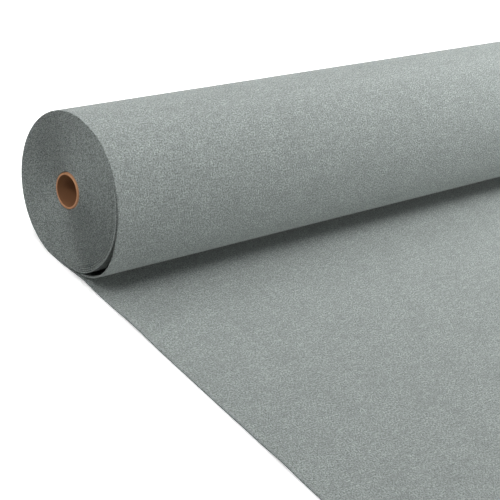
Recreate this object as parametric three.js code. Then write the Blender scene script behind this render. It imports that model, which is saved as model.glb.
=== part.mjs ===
// A roll of thick nonwoven geotextile on a paper core, with its loose end drawn out flat over the floor.
// The cloth comes out from under the roll. Followed inwards from its cut end it lies on the floor, passes under
// the roll, climbs the back and goes over the top. Down the front this last turn has slackened and stands off
// the wound cloth in a narrow crescent, and it is nipped between the roll and the floor run as it passes under
// again. From there on the turns are tight, and are one solid here.
// Millimetres. X runs along the roll, -Y is where the loose end lies, Z is up, and the floor is Z = 0.
import * as THREE from "three";

const { smoothstep, degToRad, lerp } = THREE.MathUtils;

// The cloth
const CLOTH_WIDTH = 1500;
const CLOTH_THICKNESS = 2.8;
const FLOOR_RUN = 860; // from under the roll's axis to the cut end
const CLEARANCE = 0.3; // between two solids that lie on each other

// The roll, measured at its ends
const ROLL_RADIUS = 125; // outside the last turn, at the back and over the top
const AXIS_HEIGHT = 123.8; // a little less than the radius: the roll is flattened where it stands
const ROLL_SIDES = 90;

// The paper core, cut a little longer than the cloth is wide
const CORE_BORE_RADIUS = 25;
const CORE_WALL = 3.5;
const CORE_PAST_LEFT_END = 1.2;
const CORE_PAST_RIGHT_END = 3.6;
const CORE_SIDES = 48;

// The slack at the front. Angles are in degrees, from 6 o'clock up the back and over the top.
const SAG = 9; // how far the wound cloth has sunk forwards, out of the round
const SAG_ANGLES = { starts: 235, full: 300, ebbs: 318, ends: 350 };
const CRESCENT = 9.4; // the widest gap behind the slack turn
const CRESCENT_ANGLES = { starts: 272, widest: 306, ends: 340 };
const NIP = 30; // how far in front of the axis the slack turn becomes part of the wound cloth

// The loose cloth has crept along the roll, so its edges don't line up with the roll's ends. It lies in from the left
// end by this much, and is a little less wide than the cloth that is wound tight, so it stands out less at the right.
const RIGHT_EDGE_SHARE = 0.75;
const FLOOR_DRIFT = 4.5;
const FLOOR_DRIFT_FROM = 8; // in front of the axis
const FLOOR_DRIFT_FULL = 62;
const TURN_DRIFT = 3;
const TURN_DRIFT_ANGLES = { starts: 220, full: 325 };

// Low ripples in the edges of the floor run: how far in front of the axis, how high and how long each is.
const RIPPLES = [
  { edge: "left", at: 76, height: 1.4, length: 60 },
  { edge: "left", at: 208, height: 2.2, length: 150 },
  { edge: "left", at: 470, height: 0.5, length: 120 },
  { edge: "left", at: 548, height: 1.7, length: 110 },
  { edge: "left", at: 742, height: 1.9, length: 150 },
  { edge: "right", at: 130, height: 1.6, length: 120 },
  { edge: "right", at: 365, height: 2.3, length: 170 },
  { edge: "right", at: 660, height: 1.5, length: 140 },
];
const RIPPLE_REACH = 150; // how far in from the edge a ripple dies away
const RIPPLE_COLUMNS = [0, 0.14, 0.32, 0.56, 1]; // shares of that reach
const FLOOR_STEPS = 56;
const FLOOR_CROWDING = 1.35; // above 1, the steps get shorter towards the roll

const BODY_RADIUS = ROLL_RADIUS - CLOTH_THICKNESS - CLEARANCE;
const LAYER = CLOTH_THICKNESS + CLEARANCE;
const CORE_RADIUS = CORE_BORE_RADIUS + CORE_WALL;

// How far the wound cloth stands out of the round at an angle, and how wide the crescent is there.
function sagAt(angle) {
  const { starts, full, ebbs, ends } = SAG_ANGLES;
  return SAG * smoothstep(angle, starts, full) * (1 - smoothstep(angle, ebbs, ends));
}

function crescentAt(angle) {
  const { starts, widest, ends } = CRESCENT_ANGLES;
  return CRESCENT * smoothstep(angle, starts, widest) * (1 - smoothstep(angle, widest, ends));
}

// A point of a section across the roll, as (Y, Z), kept from sinking below a level that it rests on.
function sectionPoint(angle, radius, level) {
  const turn = degToRad(angle);
  const height = AXIS_HEIGHT - radius * Math.cos(turn);
  return new THREE.Vector2(radius * Math.sin(turn), Math.max(height, level));
}

// The outline of the wound cloth: round, flat below, sunk forwards, with the step where the slack turn joins it.
function bodyOutline() {
  const points = [new THREE.Vector2(CLEARANCE - NIP, LAYER)];
  const first = THREE.MathUtils.radToDeg(Math.acos((AXIS_HEIGHT - LAYER) / BODY_RADIUS));
  for (let i = 0; i < ROLL_SIDES; i++) {
    const angle = lerp(first, 360, i / ROLL_SIDES);
    const level = angle > 180 ? 2 * LAYER : LAYER;
    const point = sectionPoint(angle, BODY_RADIUS + sagAt(angle), level);
    if (angle < 180 || point.x < -NIP - CLEARANCE) points.push(point);
  }
  points.push(new THREE.Vector2(CLEARANCE - NIP, 2 * LAYER));
  return points;
}

// The outside of the loose cloth along its length, from the cut end to the nip: each station has its place in the
// section, the way it runs there, and how far the cloth has crept along the roll.
function clothStations() {
  const outside = [];
  for (let i = 0; i <= FLOOR_STEPS; i++) {
    const y = -FLOOR_RUN * (1 - i / FLOOR_STEPS) ** FLOOR_CROWDING;
    const drift = FLOOR_DRIFT * smoothstep(-y, FLOOR_DRIFT_FROM, FLOOR_DRIFT_FULL);
    outside.push({ point: new THREE.Vector2(y, 0), drift });
  }
  const first = THREE.MathUtils.radToDeg(Math.acos(AXIS_HEIGHT / ROLL_RADIUS));
  for (let i = 0; i < ROLL_SIDES; i++) {
    const angle = lerp(first, 360, i / ROLL_SIDES);
    const radius = BODY_RADIUS + sagAt(angle) + crescentAt(angle) + LAYER;
    const point = sectionPoint(angle, radius, angle > 180 ? LAYER : 0);
    const drift = TURN_DRIFT * smoothstep(angle, TURN_DRIFT_ANGLES.starts, TURN_DRIFT_ANGLES.full);
    if (angle < 180 || point.x < -NIP - CLEARANCE) outside.push({ point, drift });
  }
  outside.push({ point: new THREE.Vector2(-NIP, LAYER), drift: TURN_DRIFT });
  outside.forEach((station, i) => {
    const before = outside[Math.max(i - 1, 0)].point;
    const after = outside[Math.min(i + 1, outside.length - 1)].point;
    station.along = after.clone().sub(before).normalize();
  });
  return outside;
}

// How far the floor run is lifted at a place by the ripples of the edge that it is near.
function liftAt(edge, fromEdge, y) {
  const ebb = 1 - smoothstep(fromEdge, 0, RIPPLE_REACH);
  return RIPPLES.filter((ripple) => ripple.edge === edge).reduce((lift, { at, height, length }) => {
    const away = Math.abs(-y - at) / (length / 2);
    return lift + height * ebb * (1 - smoothstep(away, 0, 1));
  }, 0);
}

// The columns of the loose cloth's mesh, from its left edge to its right one.
function clothColumns() {
  const left = RIPPLE_COLUMNS.map((share) => ({ edge: "left", fromEdge: share * RIPPLE_REACH }));
  const right = RIPPLE_COLUMNS.map((share) => ({ edge: "right", fromEdge: share * RIPPLE_REACH })).reverse();
  return [...left, ...right].map((column) => ({
    ...column,
    x: (CLOTH_WIDTH / 2 - column.fromEdge) * (column.edge === "left" ? -1 : 1),
    creep: column.edge === "left" ? 1 : RIGHT_EDGE_SHARE,
  }));
}

// The loose cloth as a closed sheet of even thickness: a grid outside, the same grid inside, and the rim between.
function looseClothGeometry() {
  const stations = clothStations();
  const columns = clothColumns();
  const positions = [];
  for (const depth of [0, CLOTH_THICKNESS])
    for (const { point, drift, along } of stations)
      for (const { edge, fromEdge, x, creep } of columns) {
        const onFloor = point.x < 0 && point.y === 0;
        const lift = onFloor ? liftAt(edge, fromEdge, point.x) : 0;
        const inner = { y: point.x - along.y * depth, z: point.y + along.x * depth };
        positions.push(x + drift * creep, inner.y, inner.z + lift);
      }

  const across = columns.length;
  const layer = stations.length * across;
  const index = [];
  const quad = (a, b, c, d) => index.push(a, b, c, a, c, d);
  for (let s = 0; s < stations.length - 1; s++)
    for (let c = 0; c < across - 1; c++) {
      const a = s * across + c;
      quad(a, a + across, a + across + 1, a + 1);
      quad(layer + a, layer + a + 1, layer + a + across + 1, layer + a + across);
    }
  for (let s = 0; s < stations.length - 1; s++) {
    const left = s * across;
    const right = left + across - 1;
    quad(left, left + layer, left + layer + across, left + across);
    quad(right, right + across, right + layer + across, right + layer);
  }
  const nip = (stations.length - 1) * across;
  for (let c = 0; c < across - 1; c++) {
    quad(c, c + 1, layer + c + 1, layer + c);
    quad(nip + c, layer + nip + c, layer + nip + c + 1, nip + c + 1);
  }
  const geometry = new THREE.BufferGeometry();
  geometry.setAttribute("position", new THREE.Float32BufferAttribute(positions, 3));
  geometry.setIndex(index);
  geometry.computeVertexNormals();
  return geometry;
}

// A section across the roll, with a round hole through it, run out from one place along the roll to another.
function sectionGeometry(outline, holeRadius, from, to) {
  const shape = new THREE.Shape(outline);
  const hole = new THREE.Path();
  hole.absarc(0, AXIS_HEIGHT, holeRadius, 0, 2 * Math.PI, true);
  shape.holes.push(hole);
  const geometry = new THREE.ExtrudeGeometry(shape, {
    depth: to - from,
    bevelEnabled: false,
    curveSegments: CORE_SIDES,
  });
  geometry.translate(0, 0, from);
  return geometry;
}

// A section's own X, Y and Z are the roll's Y, Z and X.
const acrossTheRoll = new THREE.Matrix4().makeBasis(
  new THREE.Vector3(0, 1, 0),
  new THREE.Vector3(0, 0, 1),
  new THREE.Vector3(1, 0, 0),
);

function named(name, geometry, material) {
  const mesh = new THREE.Mesh(geometry, material);
  mesh.name = name;
  return mesh;
}

const sections = new THREE.Group();
sections.setRotationFromMatrix(acrossTheRoll);

const leftEnd = -CLOTH_WIDTH / 2;
const rightEnd = CLOTH_WIDTH / 2;
const coreCircle = new THREE.Path().absarc(0, AXIS_HEIGHT, CORE_RADIUS, 0, 2 * Math.PI, false);
sections.add(
  named(
    "paper_core",
    sectionGeometry(
      coreCircle.getPoints(CORE_SIDES).slice(0, -1),
      CORE_BORE_RADIUS,
      leftEnd - CORE_PAST_LEFT_END,
      rightEnd + CORE_PAST_RIGHT_END,
    ),
    new THREE.MeshStandardMaterial({ color: 0xb5805a, roughness: 0.9, metalness: 0 }),
  ),
  named(
    "wound_cloth",
    sectionGeometry(bodyOutline(), CORE_RADIUS + CLEARANCE, leftEnd, rightEnd),
    new THREE.MeshStandardMaterial({ color: 0x8f9a96, roughness: 1, metalness: 0 }),
  ),
);

const looseCloth = named(
  "loose_cloth",
  looseClothGeometry(),
  new THREE.MeshStandardMaterial({ color: 0x8f9a96, roughness: 1, metalness: 0 }),
);

const model = new THREE.Group();
model.add(sections, looseCloth);

// The origin is on the floor, under the middle of everything.
const middle = new THREE.Box3().setFromObject(model).getCenter(new THREE.Vector3());
model.position.set(-middle.x, -middle.y, 0);

export default model;
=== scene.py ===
from math import cos, floor, radians, sin, tau

import bmesh
import bpy
import numpy as np
from mathutils import Matrix, Vector, noise


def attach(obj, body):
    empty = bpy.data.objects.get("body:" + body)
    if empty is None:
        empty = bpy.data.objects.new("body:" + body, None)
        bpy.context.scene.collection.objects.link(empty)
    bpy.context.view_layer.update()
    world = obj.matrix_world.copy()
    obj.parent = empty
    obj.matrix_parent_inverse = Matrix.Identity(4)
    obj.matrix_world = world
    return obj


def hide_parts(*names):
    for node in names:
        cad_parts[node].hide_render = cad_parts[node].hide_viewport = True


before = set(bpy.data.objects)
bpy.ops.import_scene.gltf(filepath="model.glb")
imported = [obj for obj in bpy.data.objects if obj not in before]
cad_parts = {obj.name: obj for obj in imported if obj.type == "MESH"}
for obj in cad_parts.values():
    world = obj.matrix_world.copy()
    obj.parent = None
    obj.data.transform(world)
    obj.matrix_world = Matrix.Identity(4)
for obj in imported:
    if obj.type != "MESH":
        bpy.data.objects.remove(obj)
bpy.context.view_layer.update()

# The camera stands left of the roll's near end and looks down along the roll, a little rolled over, as the
# photograph was taken.
CAMERA_PLACE = (-2.0357, -1.1492, 1.2433)
CAMERA_HEADING, CAMERA_DOWN, CAMERA_ROLL = -48.824, 30.013, 15.302  # degrees
SENSOR_WIDTH, LENS = 36, 105.54  # millimetres

camera_data = bpy.data.cameras.new("camera")
camera_data.sensor_width = SENSOR_WIDTH
camera_data.lens = LENS
camera = bpy.data.objects.new("camera", camera_data)
camera.matrix_world = (
    Matrix.Translation(CAMERA_PLACE)
    @ Matrix.Rotation(radians(CAMERA_HEADING), 4, "Z")
    @ Matrix.Rotation(radians(90 - CAMERA_DOWN), 4, "X")
    @ Matrix.Rotation(radians(CAMERA_ROLL), 4, "Z")
)
bpy.context.scene.collection.objects.link(camera)
bpy.context.scene.camera = camera


# The core is a tube of brown kraft paper, wound on the slant from glued plies, with a 50 mm bore and a 3.5 mm wall.
# It is sawn off square, and the cloth is wound on it. It stands out a hair at one end and 3.6 mm at the other.
AXIS_Y, AXIS_Z = 0.3675, 0.1238
LEFT_END, RIGHT_END = -0.7512, 0.7488  # of the cloth that is wound tight
CORE_BORE_RADIUS = 0.025
CORE_PLY = 0.0005
CORE_PLIES = 7
CORE_ENDS = LEFT_END - 0.0012, RIGHT_END + 0.0036
CORE_SIDES = 96
SEAM_PITCH = 0.105  # along the tube, from one seam of the winding to the next
SAW_MARKS = 0.00012
FACE_PLY_SET_BACK = 0.00022  # the innermost and outermost ply are rubbed a little shorter than the others
LENGTHWISE_FACE = 1e-4  # square metres: the faces of the sawn ends are smaller
PLY_FACES = 0.06, 0.94  # shares of a ply's thickness, with the glue line between them


def node(tree, kind, inputs=None, **settings):
    made = tree.nodes.new("ShaderNode" + kind)
    for key, value in settings.items():
        setattr(made, key, value)
    for key, value in (inputs or {}).items():
        if isinstance(value, bpy.types.NodeSocket):
            tree.links.new(value, made.inputs[key])
        else:
            made.inputs[key].default_value = value
    return made


def math(tree, operation, *values):
    return node(tree, "Math", dict(enumerate(values)), operation=operation).outputs[0]


def mask(tree, value, low, high, to_low=0.0, to_high=1.0):
    inputs = {"Value": value, "From Min": low, "From Max": high, "To Min": to_low, "To Max": to_high}
    return node(tree, "MapRange", inputs, interpolation_type="SMOOTHSTEP").outputs["Result"]


def colour_between(tree, factor, first, second):
    made = node(tree, "Mix", data_type="RGBA")
    for socket, value in ((0, factor), (6, first), (7, second)):
        if isinstance(value, bpy.types.NodeSocket):
            tree.links.new(value, made.inputs[socket])
        else:
            made.inputs[socket].default_value = (*value, 1) if isinstance(value, tuple) else value
    return made.outputs[2]


def new_group(name, inputs, outputs):
    tree = bpy.data.node_groups.new(name, "ShaderNodeTree")
    for socket, kind, value in inputs:
        made = tree.interface.new_socket(name=socket, in_out="INPUT", socket_type="NodeSocket" + kind)
        if value is not None:
            made.default_value = value
    for socket, kind in outputs:
        tree.interface.new_socket(name=socket, in_out="OUTPUT", socket_type="NodeSocket" + kind)
    return tree, tree.nodes.new("NodeGroupInput").outputs, tree.nodes.new("NodeGroupOutput").inputs


def placed(tree, group, inputs):
    made = tree.nodes.new("ShaderNodeGroup")
    made.node_tree = group
    for key, value in inputs.items():
        if isinstance(value, bpy.types.NodeSocket):
            tree.links.new(value, made.inputs[key])
        else:
            made.inputs[key].default_value = value
    return made.outputs


def new_material(name, roughness, sheen=0.0):
    material = bpy.data.materials.new(name)
    material.use_nodes = True
    tree = material.node_tree
    surface = tree.nodes["Principled BSDF"]
    surface.inputs["Roughness"].default_value = roughness
    surface.inputs["Specular IOR Level"].default_value = 0.2
    surface.inputs["Sheen Weight"].default_value = sheen
    surface.inputs["Sheen Roughness"].default_value = 0.5
    return material, tree, surface


# Loose fibres lying all ways in a flat mat, as thin light strands
fibres, given, gives = new_group(
    "crossing_fibres",
    [("Vector", "Vector", None), ("Strand length", "Float", 0.006), ("Strand width", "Float", 0.0004)],
    [("Strands", "Float")],
)
strands = None
for turn in (20, 77, 141):
    turned = node(fibres, "VectorRotate", {"Vector": given["Vector"], "Angle": radians(turn)}, rotation_type="Z_AXIS")
    parts = node(fibres, "SeparateXYZ", {"Vector": turned.outputs[0]}).outputs
    drawn = node(
        fibres,
        "CombineXYZ",
        {
            "X": math(fibres, "DIVIDE", parts["X"], given["Strand length"]),
            "Y": math(fibres, "DIVIDE", parts["Y"], given["Strand width"]),
            "Z": math(fibres, "DIVIDE", parts["Z"], given["Strand width"]),
        },
    )
    layer = node(fibres, "TexNoise", {"Vector": drawn.outputs[0], "Scale": 1.0, "Detail": 1.0, "Distortion": 0.6})
    lit = mask(fibres, layer.outputs["Fac"], 0.52, 0.72)
    strands = lit if strands is None else math(fibres, "MAXIMUM", strands, lit)
fibres.links.new(strands, gives["Strands"])

# Small lumps and the pits between them
grain, given, gives = new_group(
    "lumps_and_pits",
    [("Vector", "Vector", None), ("Lump size", "Float", 0.002), ("Pit spacing", "Float", 0.003)],
    [("Shade", "Float"), ("Height", "Float")],
)
lumps = node(
    grain,
    "TexNoise",
    {
        "Vector": given["Vector"],
        "Scale": math(grain, "DIVIDE", 1.0, given["Lump size"]),
        "Detail": 3.0,
        "Roughness": 0.62,
    },
).outputs["Fac"]
pits = node(
    grain,
    "TexVoronoi",
    {"Vector": given["Vector"], "Scale": math(grain, "DIVIDE", 1.0, given["Pit spacing"]), "Randomness": 1.0},
    feature="F1",
).outputs["Distance"]
pits = mask(grain, pits, 0.02, 0.42, 1.0, 0.0)
raised = mask(grain, lumps, 0.30, 0.70)
grain.links.new(math(grain, "SUBTRACT", raised, math(grain, "MULTIPLY", pits, 0.35)), gives["Shade"])
grain.links.new(math(grain, "SUBTRACT", raised, math(grain, "MULTIPLY", pits, 0.6)), gives["Height"])

# Soft uneven patches
patches, given, gives = new_group(
    "soft_patches",
    [("Vector", "Vector", None), ("Patch size", "Float", 0.1)],
    [("Shade", "Float")],
)
cloud = node(
    patches,
    "TexNoise",
    {
        "Vector": given["Vector"],
        "Scale": math(patches, "DIVIDE", 1.0, given["Patch size"]),
        "Detail": 4.0,
        "Roughness": 0.6,
    },
).outputs["Fac"]
patches.links.new(mask(patches, cloud, 0.25, 0.75), gives["Shade"])

# Kraft paper: plies as rings on the sawn ends, the slanting seam of the outermost and innermost ply, and painted
# shade in the bore
kraft, tree, surface = new_material("kraft_paper", 0.85)
place = node(tree, "TexCoord").outputs["Object"]
centred = node(tree, "Mapping", {"Vector": place, "Location": (0, -AXIS_Y, -AXIS_Z)}).outputs[0]
parts = node(tree, "SeparateXYZ", {"Vector": centred}).outputs
y_squared = math(tree, "MULTIPLY", parts["Y"], parts["Y"])
z_squared = math(tree, "MULTIPLY", parts["Z"], parts["Z"])
out = math(tree, "SQRT", math(tree, "ADD", y_squared, z_squared))
round_it = math(tree, "DIVIDE", math(tree, "ARCTAN2", parts["Z"], parts["Y"]), tau)
seam = math(tree, "PINGPONG", math(tree, "ADD", math(tree, "DIVIDE", parts["X"], SEAM_PITCH), round_it), 0.5)
seam = mask(tree, seam, 0.004, 0.012, 1.0, 0.0)
ply = math(tree, "PINGPONG", math(tree, "DIVIDE", out, CORE_PLY), 0.5)
glue = mask(tree, ply, 0.05, 0.22, 1.0, 0.0)
pulp = placed(tree, fibres, {"Vector": place, "Strand length": 0.003, "Strand width": 0.0003})["Strands"]
fleck = placed(tree, grain, {"Vector": place, "Lump size": 0.0009, "Pit spacing": 0.004})
tone = placed(tree, patches, {"Vector": place, "Patch size": 0.02})["Shade"]
paper = colour_between(tree, tone, (0.6, 0.3, 0.155), (0.73, 0.385, 0.21))
paper = colour_between(tree, math(tree, "MULTIPLY", pulp, 0.3), paper, (0.72, 0.43, 0.26))
paper = colour_between(tree, math(tree, "MULTIPLY", fleck["Shade"], 0.25), paper, (0.44, 0.2, 0.1))
paper = colour_between(tree, math(tree, "MULTIPLY", glue, 0.4), paper, (0.3, 0.14, 0.07))
paper = colour_between(tree, math(tree, "MULTIPLY", seam, 0.3), paper, (0.3, 0.14, 0.07))
# Painted shade: the wall of the bore is darkened almost to black along the whole tube, in place of the shade inside
# it
painted_bore_shade = mask(tree, out, CORE_BORE_RADIUS + 0.0001, CORE_BORE_RADIUS + 0.0006, 0.85, 0.0)
paper = colour_between(tree, painted_bore_shade, paper, (0.13, 0.055, 0.022))
tree.links.new(paper, surface.inputs["Base Color"])
sunk = math(tree, "ADD", math(tree, "MULTIPLY", seam, 0.5), math(tree, "MULTIPLY", glue, 0.5))
relief = math(tree, "SUBTRACT", math(tree, "MULTIPLY", fleck["Height"], 0.3), sunk)
bump = node(tree, "Bump", {"Height": relief, "Strength": 0.5, "Distance": 0.0002})
tree.links.new(bump.outputs[0], surface.inputs["Normal"])

# The section of the wall, each ply sawn off a little differently, is spun round the axis.
bm = bmesh.new()
section = []
for end, inwards in ((0, 1), (1, -1)):
    for ply in list(range(CORE_PLIES))[::inwards]:
        saw = SAW_MARKS * (noise.noise(Vector((ply * 1.7, end * 9.1, 0.4))) + 0.4) * inwards
        if ply in (0, CORE_PLIES - 1):
            saw += FACE_PLY_SET_BACK * inwards
        for edge in PLY_FACES[::inwards]:
            out = CORE_BORE_RADIUS + (ply + edge) * CORE_PLY
            section.append(bm.verts.new((CORE_ENDS[end] + saw, AXIS_Y, AXIS_Z + out)))
for first, second in zip(section, section[1:] + section[:1]):
    bm.edges.new((first, second))
bmesh.ops.spin(
    bm,
    geom=bm.verts[:] + bm.edges[:],
    cent=(0, AXIS_Y, AXIS_Z),
    axis=(1, 0, 0),
    angle=radians(360),
    steps=CORE_SIDES,
    use_merge=True,
)
bmesh.ops.recalc_face_normals(bm, faces=bm.faces)
for face in bm.faces:
    face.smooth = face.calc_area() > LENGTHWISE_FACE
core_mesh = bpy.data.meshes.new("core_tube")
bm.to_mesh(core_mesh)
bm.free()
core_mesh.materials.append(kraft)
core_tube = bpy.data.objects.new("core_tube", core_mesh)
bpy.context.scene.collection.objects.link(core_tube)
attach(core_tube, "root")
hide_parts("paper_core")


# The cloth is needle-punched felt, one length 1.5 m wide and 18.8 m long, cut raw all round. About 35 turns of it
# are wound tight on the core, pressed a little thinner, and the whole roll has slumped forwards and stands flat.
CLOTH_WIDTH = RIGHT_END - LEFT_END
FELT = 0.0028
LAYER = 0.0031  # a thickness of loose felt and the air between
WOUND_FELT = 0.0022
PITCH = 0.00263
RESTING_PITCH = 0.002541  # below the core, where the roll stands flat
BODY_RADIUS = 0.1219
TIGHT_TURNS = 35
SLUMP = 0.009  # how far the wound cloth has sunk out of the round at the lower front
# Degrees from 6 o'clock, up the back and over the top, as the cloth is followed inwards
NIP_ANGLE = 346.0
NEXT_NIP = 718  # the outermost tight turn comes to its own nip


def smooth(value, start, end):
    share = min(max((value - start) / (end - start), 0.0), 1.0)
    return share * share * (3 - 2 * share)


def slump(angle):
    return SLUMP * smooth(angle, 235, 300) * (1 - smooth(angle, 318, 350))


def turns_deep(way):
    """How many turns of cloth lie over the cloth that has been followed for this many degrees."""
    evenly = (way - NEXT_NIP) / 360 + 0.5
    whole = floor(evenly)
    easing = 0.033 + 0.467 * smooth(evenly, 1, 5)  # the outermost turn goes in all at once, where it is nipped
    return whole + smooth(evenly - whole, 0.5 - easing, 0.5 + easing)


def wound_place(way):
    """Where the outside of the wound cloth is in a section across the roll."""
    angle, deep = way % 360, turns_deep(way)
    radius = BODY_RADIUS - PITCH * deep + slump(angle) * max(1 - deep / TIGHT_TURNS, 0) ** 1.5
    resting = floor((way - 180) / 360)
    lowest = AXIS_Z - LAYER if resting == 0 else AXIS_Z - 2 * LAYER - RESTING_PITCH * (resting - 1)
    turn = radians(angle)
    if cos(turn) > 0.2:
        radius = min(radius, lowest / cos(turn))
    return AXIS_Y + radius * sin(turn), AXIS_Z - radius * cos(turn)


def flat_cloth(columns, rows, length, starts):
    """A flat length of cloth as a grid, with its flat place in metres as its UV map."""
    bm = bmesh.new()
    flat = bm.loops.layers.uv.new("flat_cloth")
    bmesh.ops.create_grid(bm, x_segments=len(columns) - 1, y_segments=rows, size=1)
    for vert in bm.verts:
        column = (vert.co.x + 1) / 2 * (len(columns) - 1)
        vert.co = (np.interp(column, range(len(columns)), columns), starts + (vert.co.y + 1) / 2 * length, 0)
    for face in bm.faces:
        face.smooth = True
        for corner in face.loops:
            corner[flat].uv = corner.vert.co.xy
    return bm


def finished_cloth(name, bm, thickness, rounding, materials):
    """The cloth gets its thickness inwards, and its raw edges are softened."""
    mesh = bpy.data.meshes.new(name)
    bm.to_mesh(mesh)
    bm.free()
    for material in materials:
        mesh.materials.append(material)
    cloth = bpy.data.objects.new(name, mesh)
    bpy.context.scene.collection.objects.link(cloth)
    wall = cloth.modifiers.new("thickness", "SOLIDIFY")
    wall.thickness = thickness
    wall.offset = 1
    wall.material_offset_rim = 1
    edge = cloth.modifiers.new("soft_edges", "BEVEL")
    edge.width = rounding
    edge.segments = 3
    edge.limit_method = "ANGLE"
    edge.angle_limit = radians(50)
    return cloth


# The faces of the felt: lumps and needle pits, fibres crossing all ways, and soft patches where the mat is denser
felt, tree, surface = new_material("needled_felt", 0.95, sheen=0.25)
lie = node(tree, "UVMap", uv_map="flat_cloth").outputs[0]
lump = placed(tree, grain, {"Vector": lie, "Lump size": 0.0026, "Pit spacing": 0.0036})
hair = placed(tree, fibres, {"Vector": lie, "Strand length": 0.008, "Strand width": 0.0005})["Strands"]
thick = placed(tree, patches, {"Vector": lie, "Patch size": 0.05})["Shade"]
clump = placed(tree, patches, {"Vector": lie, "Patch size": 0.011})["Shade"]
shade = math(tree, "ADD", math(tree, "MULTIPLY", lump["Shade"], 0.85), math(tree, "MULTIPLY", hair, 0.15))
mat = colour_between(tree, shade, (0.118, 0.133, 0.127), (0.51, 0.568, 0.546))
dense = math(tree, "ADD", math(tree, "MULTIPLY", thick, 0.2), math(tree, "MULTIPLY", clump, 0.46))
mat = colour_between(tree, dense, mat, (0.16, 0.181, 0.173))
tree.links.new(mat, surface.inputs["Base Color"])
relief = math(tree, "ADD", lump["Height"], math(tree, "MULTIPLY", hair, 0.25))
bump = node(tree, "Bump", {"Height": relief, "Strength": 0.7, "Distance": 0.0008})
tree.links.new(bump.outputs[0], surface.inputs["Normal"])

# The cut edges: the same fibres seen end on, a little darker
cut_edge, tree, surface = new_material("cut_felt_edge", 0.98, sheen=0.05)
place = node(tree, "TexCoord").outputs["Object"]
lump = placed(tree, grain, {"Vector": place, "Lump size": 0.0018, "Pit spacing": 0.003})
thick = placed(tree, patches, {"Vector": place, "Patch size": 0.03})["Shade"]
mat = colour_between(tree, lump["Shade"], (0.075, 0.085, 0.082), (0.56, 0.62, 0.596))
mat = colour_between(tree, math(tree, "MULTIPLY", thick, 0.2), mat, (0.2, 0.227, 0.217))
tree.links.new(mat, surface.inputs["Base Color"])
bump = node(tree, "Bump", {"Height": lump["Height"], "Strength": 0.7, "Distance": 0.0008})
tree.links.new(bump.outputs[0], surface.inputs["Normal"])

# The way inwards from the nip is followed in small steps, for the length of cloth wound so far at each.
ways = np.arange(NIP_ANGLE + 0.15, NEXT_NIP + 360 * (TIGHT_TURNS - 1.05), 0.5)
track = np.array([wound_place(way) for way in ways])
wound_lengths = np.concatenate([[0], np.cumsum(np.hypot(*np.diff(track, axis=0).T))])
wound_length = float(wound_lengths[-1])
WOUND_ROW = 0.006
LOOSE_LENGTH = 1.636  # what comes before it, from the cut end to the nip
EDGE_COLUMN = 0.03
TURN_CREEP = 0.003
STANDS_OUT = 0.0012  # the end of the outermost tight turn, behind the crescent
EDGE_WANDER, WANDER_LENGTH = 0.0005, 0.35  # the cut edges aren't quite in line

columns = [LEFT_END, LEFT_END + EDGE_COLUMN, RIGHT_END - EDGE_COLUMN, RIGHT_END]
bm = flat_cloth(columns, int(wound_length / WOUND_ROW), wound_length, LOOSE_LENGTH)
for vert in bm.verts:
    x, along = vert.co.x, vert.co.y - LOOSE_LENGTH
    way = float(np.interp(along, wound_lengths, ways))
    y, z = wound_place(way)
    creep = TURN_CREEP * (1 - smooth(way, NIP_ANGLE, 358))
    creep -= STANDS_OUT * smooth(way, 590, 630) * (1 - smooth(way, 690, 712))
    if abs(x) > RIGHT_END - EDGE_COLUMN / 2:
        creep += EDGE_WANDER * noise.noise(Vector((along / WANDER_LENGTH, 4.2 if x < 0 else 17.3, 0)))
    vert.co = (x + creep, y, z)
wound_turns = finished_cloth("wound_turns", bm, WOUND_FELT, 0.00098, [felt, cut_edge])
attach(wound_turns, "root")
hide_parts("wound_cloth")


# The rest of the same length of cloth: it lies on the floor from its cut end, passes under the roll, climbs the back,
# and comes down slack over the front to the nip. Its edges have crept along the roll and ripple where it lies.
FLOOR_RUN = 0.86
LOOSE_ROW = 0.0045
LIFTS_OFF = 8.2  # degrees, where the cloth leaves the floor behind the roll
NIP_AHEAD = 0.03  # of the axis
CRESCENT = 0.0084  # the widest gap behind the slack turn
SLACK_STEP = 0.001  # the slack turn has come off the roll by this much before the crescent opens
FLOOR_CREEP = 0.0045
RIGHT_CREEP_SHARE = 0.75
RIPPLE_REACH = 0.15  # how far in from its edge a ripple dies away
# How far ahead of the axis each ripple is, how high and how long
LEFT_RIPPLES = (
    (0.076, 0.0014, 0.06),
    (0.208, 0.0022, 0.15),
    (0.47, 0.0005, 0.12),
    (0.548, 0.0017, 0.11),
    (0.742, 0.0019, 0.15),
)
RIGHT_RIPPLES = ((0.13, 0.0016, 0.12), (0.365, 0.0023, 0.17), (0.66, 0.0015, 0.14))


def crescent(angle):
    opening = CRESCENT * smooth(angle, 272, 306) + SLACK_STEP * smooth(angle, 230, 246)
    return opening * (1 - smooth(angle, 306, 340))


def turn_place(angle):
    """Where the outside of the last turn is in a section across the roll."""
    radius = BODY_RADIUS + slump(angle) + crescent(angle) + LAYER
    turn = radians(angle)
    level = LAYER if angle > 180 else 0
    return AXIS_Y + radius * sin(turn), max(AXIS_Z - radius * cos(turn), level)


# Its section: the floor run, then the turn round the roll, as points with the length of cloth up to each
angles = np.arange(LIFTS_OFF, NIP_ANGLE + 0.05, 0.2)
nip_y = AXIS_Y - NIP_AHEAD
around = [turn_place(angle) for angle in angles if angle < 180 or turn_place(angle)[0] < nip_y]
section = np.array([(AXIS_Y - FLOOR_RUN, 0.0)] + around + [(nip_y, LAYER)])
turn_angles = np.concatenate([[0], angles[: len(section) - 2], [NIP_ANGLE]])
loose_lengths = np.concatenate([[0], np.cumsum(np.hypot(*np.diff(section, axis=0).T))])
loose_length = float(loose_lengths[-1])


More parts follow.
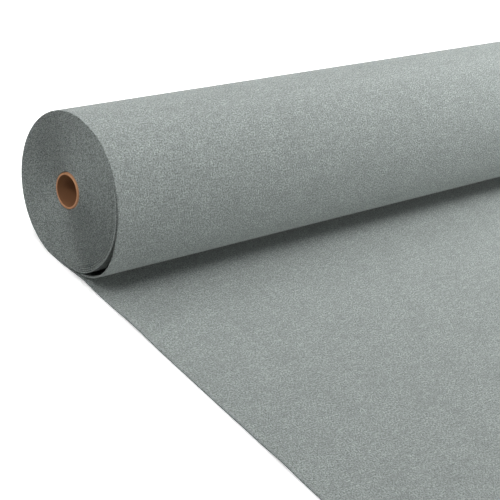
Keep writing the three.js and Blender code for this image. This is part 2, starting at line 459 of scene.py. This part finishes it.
def lift(x, ahead):
    """How far the floor run is lifted, by the ripples of the edge that it is near."""
    ripples = LEFT_RIPPLES if x < 0 else RIGHT_RIPPLES
    from_edge = CLOTH_WIDTH / 2 - abs(x - (LEFT_END + RIGHT_END) / 2)
    ebb = 1 - smooth(from_edge, 0, RIPPLE_REACH)
    return sum(high * ebb * (1 - smooth(abs(ahead - at) / (long / 2), 0, 1)) for at, high, long in ripples)


shares = (0, 0.003, 0.008, 0.016, 0.03, 0.05, 0.075, 0.1, 0.125, 0.15, 0.2, 0.27, 0.35, 0.45, 0.55, 0.65)
columns = [LEFT_END + share for share in shares] + [RIGHT_END - share for share in shares[::-1]]
bm = flat_cloth(columns, int(loose_length / LOOSE_ROW), loose_length, 0)
for vert in bm.verts:
    x, along = vert.co.x, vert.co.y
    y, z = (float(np.interp(along, loose_lengths, values)) for values in section.T)
    angle = float(np.interp(along, loose_lengths, turn_angles)) if along > FLOOR_RUN else 0
    ahead = max(AXIS_Y - y, 0) if along < FLOOR_RUN else 0
    creep = FLOOR_CREEP * smooth(ahead, 0.008, 0.062) + TURN_CREEP * smooth(angle, 220, 325)
    creep *= 1 if x < 0 else RIGHT_CREEP_SHARE
    vert.co = (x + creep, y, z + (lift(x, ahead) if ahead > 0 else 0))
loose_end = finished_cloth("loose_end", bm, FELT, 0.0008, [felt, cut_edge])
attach(loose_end, "root")
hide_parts("loose_cloth")


# A plain pale floor and soft studio light. The floor is seen white but throws only a little light back on the cloth.
FLOOR_SEEN, FLOOR_THROWS_BACK = 0.93, 0.3
FLOOR_GLOW = 0.35  # for the camera alone
WORLD_SEEN, WORLD_LIGHT = 0.4, 0.03
MIDDLE_IN_VIEW = (0.2, 0.1, 0.05)
FLOOR_HALF_WIDTH = 9
FLOOR_PLACE = (3, 3, -0.0003)  # a hair under the cloth, and reaching furthest behind the roll
floor_material, tree, surface = new_material("pale_floor", 0.9)
seen = node(tree, "LightPath").outputs["Is Camera Ray"]
pale = colour_between(tree, seen, (FLOOR_THROWS_BACK,) * 3, (FLOOR_SEEN,) * 3)
tree.links.new(pale, surface.inputs["Base Color"])
tree.links.new(math(tree, "MULTIPLY", seen, FLOOR_GLOW), surface.inputs["Emission Strength"])
surface.inputs["Emission Color"].default_value = (1, 1, 1, 1)
bm = bmesh.new()
bmesh.ops.create_grid(bm, x_segments=1, y_segments=1, size=FLOOR_HALF_WIDTH)
bmesh.ops.translate(bm, verts=bm.verts, vec=FLOOR_PLACE)
floor_mesh = bpy.data.meshes.new("pale_floor")
bm.to_mesh(floor_mesh)
bm.free()
floor_mesh.materials.append(floor_material)
pale_floor = bpy.data.objects.new("pale_floor", floor_mesh)
bpy.context.scene.collection.objects.link(pale_floor)


def soft_light(name, place, aims_at, size, power):
    data = bpy.data.lights.new(name, "AREA")
    data.size = size
    data.energy = power
    light = bpy.data.objects.new(name, data)
    light.location = place
    light.rotation_euler = (Vector(aims_at) - Vector(place)).to_track_quat("-Z", "Y").to_euler()
    bpy.context.scene.collection.objects.link(light)


soft_light("right_light", (1.4, 0.1, 2.128), MIDDLE_IN_VIEW, 1.0, 26.5)
soft_light("near_light", (1.0, 0.05, 1.45), MIDDLE_IN_VIEW, 0.8, 19.5)
soft_light("low_front_light", (0.963, -4.228, 0.512), MIDDLE_IN_VIEW, 1.4, 124.0)
soft_light("low_right_light", (2.0, -1.2, 0.75), MIDDLE_IN_VIEW, 1.2, 3.0)
soft_light("left_light", (-2.114, 0.3, 1.514), (-0.7, 0.3, 0.1), 1.0, 19.5)
soft_light("high_back_light", (-0.891, 1.191, 1.889), MIDDLE_IN_VIEW, 1.0, 21.5)
soft_light("low_back_light", (0.2, 2.355, 0.871), MIDDLE_IN_VIEW, 1.0, 19.0)
world = bpy.data.worlds.new("studio")
world.use_nodes = True
tree = world.node_tree
tree.nodes["Background"].inputs["Color"].default_value = (1, 1, 1, 1)
seen = node(tree, "LightPath").outputs["Is Camera Ray"]
strength = mask(tree, seen, 0.0, 1.0, WORLD_LIGHT, WORLD_SEEN)
tree.links.new(strength, tree.nodes["Background"].inputs["Strength"])
bpy.context.scene.world = world
bpy.context.scene.view_settings.view_transform = "Standard"
